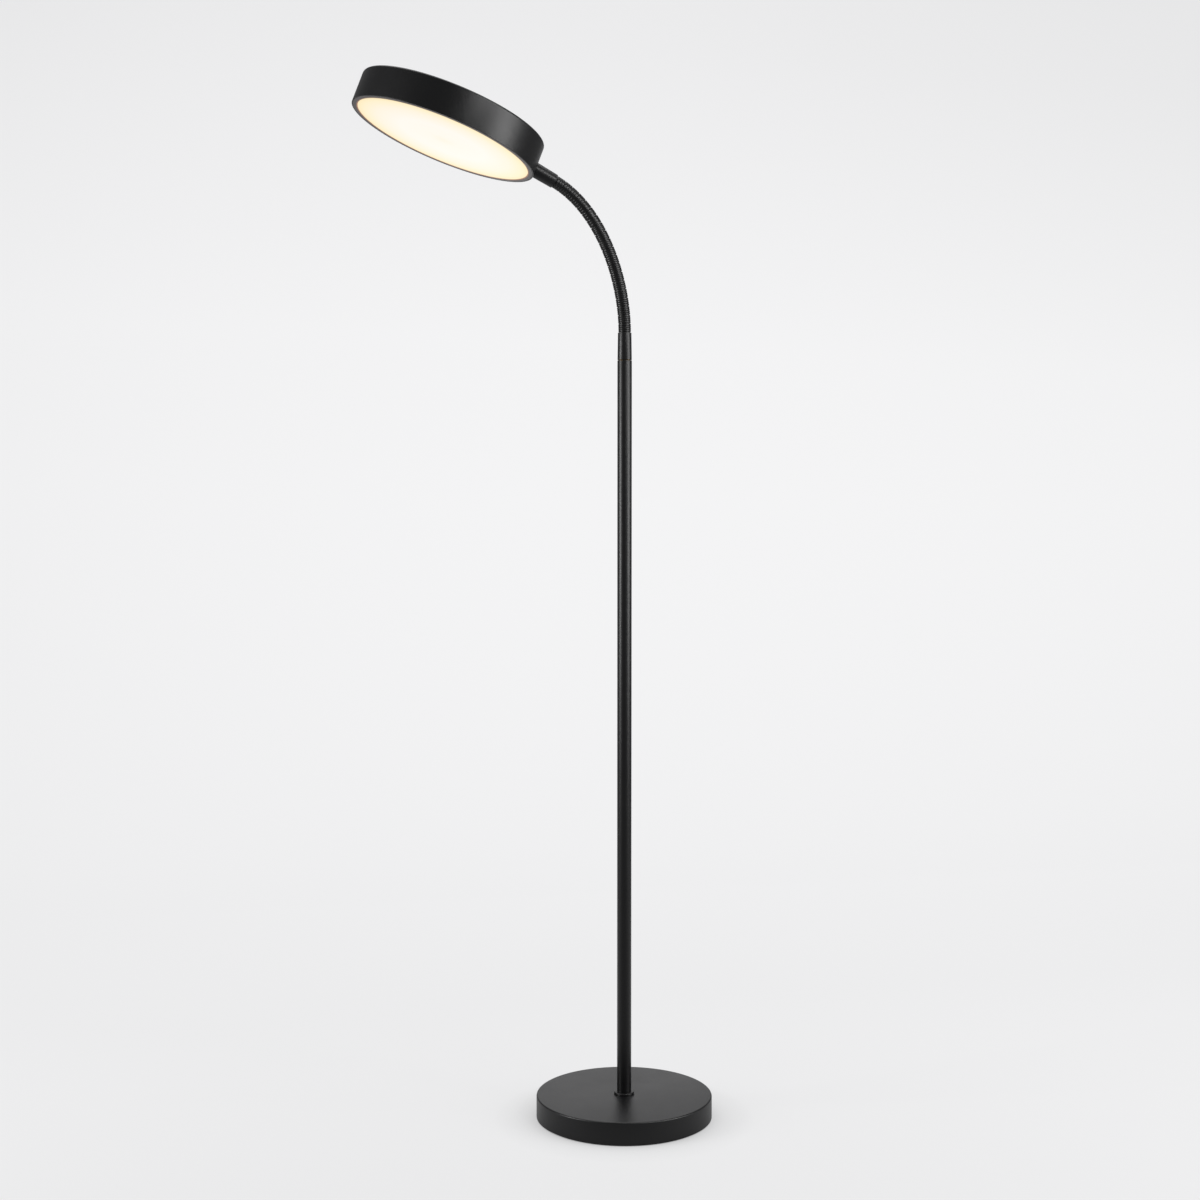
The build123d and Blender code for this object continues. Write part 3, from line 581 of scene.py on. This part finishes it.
# ---------------------------------------------------------------- neck
# Flexible tube wound from profiled steel strip, satin black. Each link is a few turns of the winding round
# a hollow, and the round boss at its top fits inside the next link, so the turns stay shut as it bends.
# The grooves get shallower from the fourth link to the thirteenth, and the turns wider from the fourteenth.
LINKS = 20
TIGHT_TURNS = 4
OPEN_TURNS = 3
FIRST_OPEN_LINK = 14
ROWS_PER_TURN = 9
LINE_STEPS = 12
LEAD_IN = 0.008
DEEP_GROOVE = 0.00755
SHALLOW_GROOVE = 0.00805
SHALLOW_FROM, SHALLOW_WHOLLY = 4, 13
pivots = [Vector(joint["pos_m"]) for joint in frame["joints"] if joint["name"] != "head_turn"]
head_joint = [joint for joint in frame["joints"] if joint["name"] == "head_turn"][0]
neck_end, neck_end_way = Vector(head_joint["pos_m"]), Vector(head_joint["axis"]).normalized()
pivots.append(neck_end)
ways = [Vector((0, 0, 1))]
for below, above in zip(pivots, pivots[2:]):
    ways.append((above - below).normalized())
ways.append(neck_end_way)
centre_line = [pivots[0] - ways[0] * LEAD_IN]
marks = []
for below, above, way_in, way_out in zip(pivots, pivots[1:], ways, ways[1:]):
    span = (above - below).length
    marks.append(len(centre_line))
    for step in range(LINE_STEPS):
        t = step / LINE_STEPS
        centre_line.append(
            below * (2 * t**3 - 3 * t**2 + 1) + above * (3 * t**2 - 2 * t**3)
            + way_in * span * (t**3 - 2 * t**2 + t) + way_out * span * (t**3 - t**2)
        )
marks.append(len(centre_line))
centre_line += [neck_end, neck_end + neck_end_way * LEAD_IN]
reached = [0.0]
for below, above in zip(centre_line, centre_line[1:]):
    reached.append(reached[-1] + (above - below).length)

winding = bpy.data.node_groups.new("wound neck link", "GeometryNodeTree")
winding.interface.new_socket(name="Centre line", in_out="INPUT", socket_type="NodeSocketGeometry")
for label, start_value in (
    ("Start", LEAD_IN), ("End", 0.019), ("Turns", 4.0), ("Crest radius", 0.0083),
    ("Groove radius", DEEP_GROOVE), ("Hollow radius", 0.00718), ("Hollow taper", 0.00028),
    ("Boss radius", 0.0071), ("Boss reach", 0.0035), ("Joint gap", 0.00036), ("Roundness", 0.28),
):
    length = winding.interface.new_socket(name=label, in_out="INPUT", socket_type="NodeSocketFloat")
    length.default_value = start_value
for label, start_value in (("Around", 56), ("Rows", 32)):
    count = winding.interface.new_socket(name=label, in_out="INPUT", socket_type="NodeSocketInt")
    count.default_value = start_value
winding.interface.new_socket(name="Finish", in_out="INPUT", socket_type="NodeSocketMaterial")
winding.interface.new_socket(name="Link", in_out="OUTPUT", socket_type="NodeSocketGeometry")
given = winding.nodes.new("NodeGroupInput").outputs
neck_links = winding.links


def reckon(operation, a, b=None, c=None):
    """One step of the winding's arithmetic."""
    node = winding.nodes.new("ShaderNodeMath")
    node.operation = operation
    for socket, value in zip(node.inputs, (a, b, c)):
        if value is None:
            continue
        if isinstance(value, (int, float)):
            socket.default_value = value
        else:
            neck_links.new(value, socket)
    return node.outputs[0]


def scaled(vector, by):
    """A direction times a length."""
    node = winding.nodes.new("ShaderNodeVectorMath")
    node.operation = "SCALE"
    neck_links.new(vector, node.inputs[0])
    neck_links.new(by, node.inputs["Scale"])
    return node.outputs[0]


def way_step(operation, a, b):
    """The sum of two directions, or the direction across both."""
    node = winding.nodes.new("ShaderNodeVectorMath")
    node.operation = operation
    for socket, value in zip(node.inputs, (a, b)):
        if isinstance(value, tuple):
            socket.default_value = value
        else:
            neck_links.new(value, socket)
    return node.outputs[0]


as_curve = winding.nodes.new("GeometryNodeMeshToCurve")
neck_links.new(given["Centre line"], as_curve.inputs["Mesh"])


SEAM_WELD = 1e-6


def wrapped(rows, radius_of, distance_of):
    """A closed skin round the centre line; radius and distance are reckoned from the row number."""
    grid = winding.nodes.new("GeometryNodeMeshGrid")
    grid.inputs["Size X"].default_value = 1.0
    grid.inputs["Size Y"].default_value = 1.0
    neck_links.new(reckon("ADD", given["Around"], 1), grid.inputs["Vertices X"])
    neck_links.new(reckon("ADD", rows, 1), grid.inputs["Vertices Y"])
    split = winding.nodes.new("ShaderNodeSeparateXYZ")
    neck_links.new(grid.outputs["UV Map"], split.inputs[0])
    angle = reckon("MULTIPLY", split.outputs["X"], 2 * pi)
    row = reckon("ROUND", reckon("MULTIPLY", split.outputs["Y"], rows))
    sample = winding.nodes.new("GeometryNodeSampleCurve")
    sample.mode = "LENGTH"
    neck_links.new(as_curve.outputs["Curve"], sample.inputs["Curves"])
    neck_links.new(distance_of(row), sample.inputs["Length"])
    radius = radius_of(row)
    side = way_step("CROSS_PRODUCT", sample.outputs["Tangent"], (0, 1, 0))
    across = scaled(side, reckon("MULTIPLY", radius, reckon("COSINE", angle)))
    combined = winding.nodes.new("ShaderNodeCombineXYZ")
    neck_links.new(reckon("MULTIPLY", radius, reckon("SINE", angle)), combined.inputs["Y"])
    place = way_step("ADD", way_step("ADD", sample.outputs["Position"], across), combined.outputs[0])
    moved = winding.nodes.new("GeometryNodeSetPosition")
    neck_links.new(grid.outputs["Mesh"], moved.inputs["Geometry"])
    neck_links.new(place, moved.inputs["Position"])
    welded = winding.nodes.new("GeometryNodeMergeByDistance")
    welded.inputs["Distance"].default_value = SEAM_WELD
    neck_links.new(moved.outputs[0], welded.inputs["Geometry"])
    return welded.outputs[0]


# the sleeve: rows 0 to Rows run up the ribbed outside, the same number come down the smooth hollow
def sleeve_share(row):
    """How far up the link a row lies, from 0 to 1."""
    back = reckon("SUBTRACT", reckon("ADD", reckon("MULTIPLY", given["Rows"], 2), 1), row)
    share = reckon("DIVIDE", reckon("MINIMUM", row, back), given["Rows"])
    return reckon("MAXIMUM", share, 0)


def sleeve_inside(row):
    """1 for the rows of the hollow and 0 for those of the outside."""
    above = reckon("GREATER_THAN", row, reckon("ADD", given["Rows"], 0.5))
    below = reckon("LESS_THAN", row, reckon("ADD", reckon("MULTIPLY", given["Rows"], 2), 1.5))
    return reckon("MULTIPLY", above, below)


def sleeve_distance(row):
    """Where a row lies along the centre line, short of the joints at both ends by the gap."""
    whole = reckon("SUBTRACT", given["End"], given["Start"])
    length = reckon("SUBTRACT", whole, reckon("MULTIPLY", given["Joint gap"], 2))
    bottom = reckon("ADD", given["Start"], given["Joint gap"])
    return reckon("ADD", bottom, reckon("MULTIPLY", sleeve_share(row), length))


def sleeve_radius(row):
    """The outside's turns, or the hollow, which narrows a little upwards."""
    share = sleeve_share(row)
    wound_by = reckon("MULTIPLY", share, reckon("MULTIPLY", given["Turns"], pi))
    wave = reckon("ABSOLUTE", reckon("SINE", wound_by))
    bead = reckon("POWER", wave, given["Roundness"])
    rise = reckon("SUBTRACT", given["Crest radius"], given["Groove radius"])
    outside = reckon("ADD", given["Groove radius"], reckon("MULTIPLY", bead, rise))
    hollow = reckon("SUBTRACT", given["Hollow radius"], reckon("MULTIPLY", share, given["Hollow taper"]))
    inside = sleeve_inside(row)
    of_outside = reckon("MULTIPLY", reckon("SUBTRACT", 1, inside), outside)
    return reckon("ADD", reckon("MULTIPLY", inside, hollow), of_outside)


sleeve_rows = reckon("ADD", reckon("MULTIPLY", given["Rows"], 2), 2)
sleeve = wrapped(sleeve_rows, sleeve_radius, sleeve_distance)

# the boss: a round band about the joint above, closed flat at both ends
BOSS_ROWS = 12


def boss_swing(row):
    """The angle of a row about the joint, up and down from level."""
    share = reckon("DIVIDE", reckon("SUBTRACT", row, 1), BOSS_ROWS - 2)
    held = reckon("MINIMUM", reckon("MAXIMUM", share, 0), 1)
    limit = reckon("ARCSINE", reckon("DIVIDE", given["Boss reach"], given["Boss radius"]))
    return reckon("MULTIPLY", reckon("SUBTRACT", reckon("MULTIPLY", held, 2), 1), limit)


def boss_radius(row):
    """The band's radius at a row; the first and last row close it at the middle."""
    open_row = reckon("MULTIPLY", reckon("GREATER_THAN", row, 0.5), reckon("LESS_THAN", row, BOSS_ROWS - 0.5))
    radius = reckon("MULTIPLY", given["Boss radius"], reckon("COSINE", boss_swing(row)))
    return reckon("MULTIPLY", open_row, radius)


def boss_distance(row):
    """Where a row lies along the centre line."""
    above_joint = reckon("MULTIPLY", given["Boss radius"], reckon("SINE", boss_swing(row)))
    return reckon("ADD", given["End"], above_joint)


boss = wrapped(BOSS_ROWS, boss_radius, boss_distance)
joined = winding.nodes.new("GeometryNodeJoinGeometry")
neck_links.new(sleeve, joined.inputs[0])
neck_links.new(boss, joined.inputs[0])
realized = winding.nodes.new("GeometryNodeRealizeInstances")
neck_links.new(joined.outputs[0], realized.inputs[0])
smoothed = winding.nodes.new("GeometryNodeSetShadeSmooth")
neck_links.new(realized.outputs[0], smoothed.inputs[0])
finished = winding.nodes.new("GeometryNodeSetMaterial")
neck_links.new(smoothed.outputs[0], finished.inputs[0])
neck_links.new(given["Finish"], finished.inputs["Material"])
result = winding.nodes.new("NodeGroupOutput")
neck_links.new(finished.outputs[0], result.inputs["Link"])
socket_of = {item.name: item.identifier for item in winding.interface.items_tree if item.in_out == "INPUT"}

neck_black = finish_slot("satin black neck coat", 0.0, 0.36, (0.0035, 0.0035, 0.004))
add_mottle(neck_black, 60, "Roughness", 0.34, 0.40)

guide_mesh = bpy.data.meshes.new("neck_centre_line")
guide_mesh.from_pydata(centre_line, [(i, i + 1) for i in range(len(centre_line) - 1)], [])
for number in range(1, LINKS + 1):
    guide = bpy.data.objects.new("neck_guide", guide_mesh)
    bpy.context.scene.collection.objects.link(guide)
    wind = guide.modifiers.new("winding", "NODES")
    wind.node_group = winding
    turns_here = TIGHT_TURNS if number < FIRST_OPEN_LINK else OPEN_TURNS
    wind[socket_of["Start"]] = reached[marks[number - 1]]
    wind[socket_of["End"]] = reached[marks[number]]
    wind[socket_of["Turns"]] = float(turns_here)
    wind[socket_of["Rows"]] = ROWS_PER_TURN * turns_here
    shallow = min(1, max(0, (number - SHALLOW_FROM) / (SHALLOW_WHOLLY - SHALLOW_FROM)))
    wind[socket_of["Groove radius"]] = DEEP_GROOVE + shallow * (SHALLOW_GROOVE - DEEP_GROOVE)
    wind[socket_of["Finish"]] = neck_black
    plain = bpy.data.meshes.new_from_object(guide.evaluated_get(bpy.context.evaluated_depsgraph_get()))
    guide.modifiers.clear()
    bpy.data.objects.remove(guide)
    link_shape = bmesh.new()
    link_shape.from_mesh(plain)
    bmesh.ops.dissolve_degenerate(link_shape, edges=link_shape.edges, dist=1e-7)
    bmesh.ops.recalc_face_normals(link_shape, faces=link_shape.faces)
    link_shape.to_mesh(plain)
    link_shape.free()
    plain.name = f"wound_link_{number:02d}"
    plain.set_sharp_from_angle(angle=radians(50))
    wound = bpy.data.objects.new(plain.name, plain)
    bpy.context.scene.collection.objects.link(wound)
    fit(wound, f"neck_link_{number:02d}", "neck_black", neck_black, f"neck_link_{number:02d}")
bpy.data.meshes.remove(guide_mesh)

# ---------------------------------------------------------------- upper ferrule
# Turned sleeve on the neck's upper end, a little thicker towards the head. Its end is cut to the curve of
# the head's wall, and its hollow stud goes through the wall to the nut inside.
HEAD_RADIUS = 123.0
HEAD_HEIGHT = 41.0
HEAD_WALL = 1.6
HEAD_ELEVATION = 21.2
UPPER_LENGTH = 30.1
UPPER_OVERRUN = 8.0
UPPER_MOUTH_RADIUS = 9.25
UPPER_ROOT_RADIUS = 9.75
UPPER_SOCKET_RADIUS = 7.22
UPPER_SOCKET_DEPTH = 4.0
LINK_GAP = 0.55
SINK_IN_WALL = 0.3
STUD_HEIGHT = 13.2
head_lean = radians(90 - HEAD_ELEVATION)
outward = Vector((-sin(head_lean), 0, cos(head_lean)))
upward = Vector((cos(head_lean), 0, sin(head_lean)))
wall_point = neck_end + neck_end_way * UPPER_LENGTH * mm
rim_centre = wall_point + outward * HEAD_RADIUS * mm - upward * STUD_HEIGHT * mm


def standing(at, up):
    """A place at a point with its Z axis along a direction and its Y axis across the lamp."""
    across = Vector((0, 1, 0))
    place = Matrix.Identity(4)
    for i, axis in enumerate((across.cross(up).normalized(), across, up.normalized())):
        for k in range(3):
            place[k][i] = axis[k]
    place.translation = at
    return place


head_place = standing(rim_centre, upward)
upper_place = standing(neck_end, neck_end_way)
upper_ferrule = spun(
    "turned_upper_ferrule",
    rounded_section([
        (LEAD_WAY, UPPER_SOCKET_DEPTH, 0), (UPPER_SOCKET_RADIUS, UPPER_SOCKET_DEPTH, 0),
        (UPPER_SOCKET_RADIUS, LINK_GAP, 0.15), (UPPER_MOUTH_RADIUS, LINK_GAP, 0.55),
        (UPPER_ROOT_RADIUS, UPPER_LENGTH + UPPER_OVERRUN, 0), (LEAD_WAY, UPPER_LENGTH + UPPER_OVERRUN, 0),
    ]),
    upper_place, 96,
)
for vertex in upper_ferrule.data.vertices:
    if (upper_place.inverted() @ vertex.co).z < (UPPER_LENGTH + UPPER_OVERRUN - 1) * mm:
        continue
    # slide back along the sleeve's axis until the point lies just inside the head's wall
    there = head_place.inverted() @ vertex.co
    slide = head_place.to_3x3().inverted() @ neck_end_way
    a = slide.x**2 + slide.y**2
    b = 2 * (there.x * slide.x + there.y * slide.y)
    c = there.x**2 + there.y**2 - ((HEAD_RADIUS - SINK_IN_WALL) * mm) ** 2
    travel = (-b - sqrt(b * b - 4 * a * c)) / (2 * a)
    vertex.co = vertex.co + neck_end_way * travel
fit(upper_ferrule, "head", "black_powder_coat_steel", coat, "upper_ferrule")
STUD_RADIUS = 5.0
STUD_ROOT, STUD_END = -3, 11.6
stud_place = standing(wall_point, outward)
stud = spun(
    "upper_ferrule_stud",
    rounded_section([
        (LEAD_WAY, STUD_ROOT, 0), (STUD_RADIUS, STUD_ROOT, 0),
        (STUD_RADIUS, STUD_END, 0.5), (LEAD_WAY, STUD_END, 0.2),
    ]),
    stud_place, 48,
)
fit(stud, "head", "zinc_steel", zinc, "upper_ferrule")

# ---------------------------------------------------------------- head shell
# Spun aluminium pan with a soft top edge, coated like the stand. Posts pressed into it carry the plate
# inside, and a hole in the wall takes the ferrule's stud.
HEAD_INSIDE_TOP = HEAD_HEIGHT - HEAD_WALL
POST_CIRCLE = 102.0
POST_RADIUS = 3.5
POST_END = 23.8
POSTS = 3
FIRST_POST_AT = 60
shell = spun(
    "spun_head_shell",
    rounded_section([
        (0, HEAD_INSIDE_TOP, 0), (0, HEAD_HEIGHT, 0), (HEAD_RADIUS, HEAD_HEIGHT, 3.0), (HEAD_RADIUS, 0, 0.35),
        (HEAD_RADIUS - HEAD_WALL, 0, 0.35), (HEAD_RADIUS - HEAD_WALL, HEAD_INSIDE_TOP, 1.4),
    ], 10),
    head_place, 256,
)
punch(shell, spun("punch", hole_section, stud_place, 48))
fit(shell, "head", "black_powder_coat_aluminium", coat, "head_shell")
POST_ROOT = HEAD_INSIDE_TOP + SINK_IN_WALL
post_section = rounded_section([
    (0, POST_END, 0), (POST_RADIUS, POST_END, 0.3), (POST_RADIUS, POST_ROOT, 0), (0, POST_ROOT, 0),
])
for post in range(POSTS):
    angle = radians(FIRST_POST_AT + 360 / POSTS * post)
    at = head_place @ Vector((POST_CIRCLE * mm * cos(angle), POST_CIRCLE * mm * sin(angle), 0))
    peg = spun(f"shell_post_{post + 1}", post_section, standing(at, upward), 32)
    fit(peg, "head", "black_powder_coat_aluminium", coat, "head_shell")

# ---------------------------------------------------------------- bezel ring and diffuser
# Aluminium ring painted dark grey, pressed in flush with the rim. It holds the opal acrylic disc, which
# glows warm white, a little yellower towards its edge where the light is dimmest.
BEZEL_INNER = 115.3
BEZEL_OUTER = 121.35
BEZEL_SLEEVE = 119.75
BEZEL_FACE = 1.6
BEZEL_HEIGHT = 4.0
PAINTED_GLOW_END = 117.5
DISC_RADIUS = 115.1
DISC_LIP = 118.8
DISC_FACE = 0.3
DISC_BACK = 2.9


def outward_over(material, inner, outer, at_inner, at_outer):
    """A value that changes evenly between two distances from the middle of the disc's face."""
    nodes, links = material.node_tree.nodes, material.node_tree.links
    place = nodes.new("ShaderNodeTexCoord")
    from_middle = nodes.new("ShaderNodeVectorMath")
    from_middle.operation = "DISTANCE"
    from_middle.inputs[1].default_value = rim_centre
    links.new(place.outputs["Object"], from_middle.inputs[0])
    outwards = nodes.new("ShaderNodeMapRange")
    outwards.inputs["From Min"].default_value = inner
    outwards.inputs["From Max"].default_value = outer
    outwards.inputs["To Min"].default_value = at_inner
    outwards.inputs["To Max"].default_value = at_outer
    links.new(from_middle.outputs["Value"], outwards.inputs["Value"])
    return outwards.outputs["Result"]


bezel_grey = finish_slot("satin dark grey paint with painted edge glow", 0.0, 0.4, (0.17, 0.155, 0.155))
add_grain(bezel_grey, 2200, 0.00004, 2)
add_mottle(bezel_grey, 30, "Roughness", 0.34, 0.46)
# painted light: a thin warm glow painted on the ring's inner edge, standing in for the disc's light spilling
# on it
painted_spill_glow = outward_over(bezel_grey, BEZEL_INNER * mm, PAINTED_GLOW_END * mm, 0.30, 0.0)
bezel_shader = bezel_grey.node_tree.nodes["Principled BSDF"]
bezel_grey.node_tree.links.new(painted_spill_glow, bezel_shader.inputs["Emission Strength"])
bezel_shader.inputs["Emission Color"].default_value = (1.0, 0.42, 0.2, 1)
bezel = spun(
    "pressed_bezel_ring",
    rounded_section([
        (BEZEL_INNER, 0, 0.5), (BEZEL_OUTER, 0, 0.3), (BEZEL_OUTER, BEZEL_HEIGHT, 0.2),
        (BEZEL_SLEEVE, BEZEL_HEIGHT, 0.2), (BEZEL_SLEEVE, BEZEL_FACE, 0), (BEZEL_INNER, BEZEL_FACE, 0.2),
    ]),
    head_place, 256,
)
fit(bezel, "head", "bezel_grey", bezel_grey, "bezel_ring")
opal = finish_slot("lit opal acrylic", 0.0, 0.35, (0.05, 0.048, 0.042))
opal_nodes, opal_links = opal.node_tree.nodes, opal.node_tree.links
warmth = opal_nodes.new("ShaderNodeValToRGB")
# (share of the way from the disc's middle to its edge, colour of the light there)
lay_ramp(warmth, [
    (0.0, (0.95, 0.865, 0.735)), (0.16, (0.955, 0.89, 0.80)), (0.5, (0.955, 0.895, 0.82)),
    (0.78, (0.95, 0.86, 0.71)), (0.93, (0.945, 0.835, 0.58)), (1.0, (0.94, 0.785, 0.48)),
])
opal_links.new(outward_over(opal, 0.0, DISC_RADIUS * mm, 0.0, 1.0), warmth.inputs["Fac"])
opal_shader = opal_nodes["Principled BSDF"]
opal_links.new(warmth.outputs["Color"], opal_shader.inputs["Emission Color"])
opal_shader.inputs["Emission Strength"].default_value = 1.0
opal_shader.inputs["Specular IOR Level"].default_value = 0.15
add_grain(opal, 300, 0.00002, 2)
opal_disc = spun(
    "opal_diffuser_disc",
    rounded_section([
        (0, DISC_FACE, 0), (DISC_RADIUS, DISC_FACE, 0.4), (DISC_RADIUS, BEZEL_FACE, 0),
        (DISC_LIP, BEZEL_FACE, 0.2), (DISC_LIP, DISC_BACK, 0.2), (0, DISC_BACK, 0),
    ]),
    head_place, 192,
)
fit(opal_disc, "head", "opal_diffuser", opal, "diffuser")

# ---------------------------------------------------------------- carrier plate, board, screws and driver
# What the closed head holds: a mill-finish plate on the posts, the white board with its chips below it, and
# the moulded driver box above it. They come as they are from the frame, with their own finishes. A short
# length of the same lead runs from the ferrule's stud to the driver.
mill = finish_slot("mill finish sheet", 1.0, 0.34, (0.75, 0.75, 0.75))
add_grain(mill, 500, 0.00004, 3, (1, 30, 1))
add_mottle(mill, 40, "Roughness", 0.28, 0.42)
give(mill, "carrier_plate")
mask = finish_slot("white solder mask", 0.0, 0.3, (0.86, 0.86, 0.84))
add_grain(mask, 350, 0.00003, 2)
add_mottle(mask, 60, "Base Color", (0.84, 0.84, 0.82), (0.89, 0.89, 0.87))
give(mask, "led_board")
phosphor = finish_slot("chip phosphor", 0.0, 0.35, (0.90, 0.72, 0.22))
add_grain(phosphor, 1500, 0.00003, 2)
add_mottle(phosphor, 700, "Base Color", (0.86, 0.66, 0.18), (0.93, 0.78, 0.3))
give(phosphor, "led_chips")
give(zinc, "carrier_screws", "board_screws", "driver_screws")
moulded = finish_slot("moulded white plastic", 0.0, 0.45, (0.80, 0.80, 0.78))
add_grain(moulded, 1300, 0.00006, 3)
add_mottle(moulded, 50, "Roughness", 0.4, 0.52)
give(moulded, "led_driver")
head_lead = [
    (119.4, STUD_HEIGHT), (111, STUD_HEIGHT), (104, STUD_HEIGHT), (104, STUD_HEIGHT + 6),
    (104, 25), (104, 31), (98, 31), (39, 31),
]
lead_along(
    "driver_lead_jacket",
    [head_place @ Vector((x * mm, 0, z * mm)) for x, z in head_lead],
    "head", "driver_lead",
)
